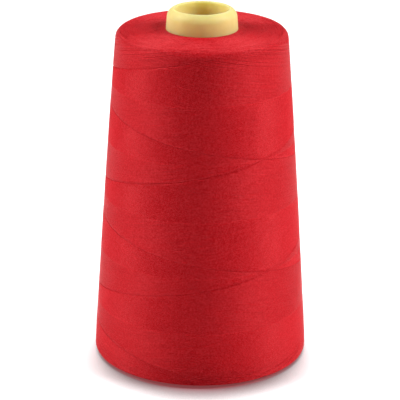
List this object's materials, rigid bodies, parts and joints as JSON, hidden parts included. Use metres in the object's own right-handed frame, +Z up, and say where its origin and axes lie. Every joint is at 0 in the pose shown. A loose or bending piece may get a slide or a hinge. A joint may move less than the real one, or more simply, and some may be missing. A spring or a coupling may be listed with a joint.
{
  "type": "thread cone",
  "caption": "Tapered plastic core with a nose hole, wound with a tall conical package of red sewing thread; stands on its foot or on a thread stand's cone holder.",
  "frame": {"origin": "centre of the core's foot, on the surface the cone stands on", "axes": "+Z up along the core's axis, from the foot to the nose"},
  "size_m": [0.0898, 0.0898, 0.1482],
  "materials": {
    "core_plastic": "smooth moulded cream-yellow polypropylene, slightly waxy",
    "thread": "red spun-polyester sewing thread, cross-wound, soft sheen"
  },
  "bodies": {
    "root": {"cone_core": "core_plastic", "thread_package": "thread"}
  },
  "joints": []
}
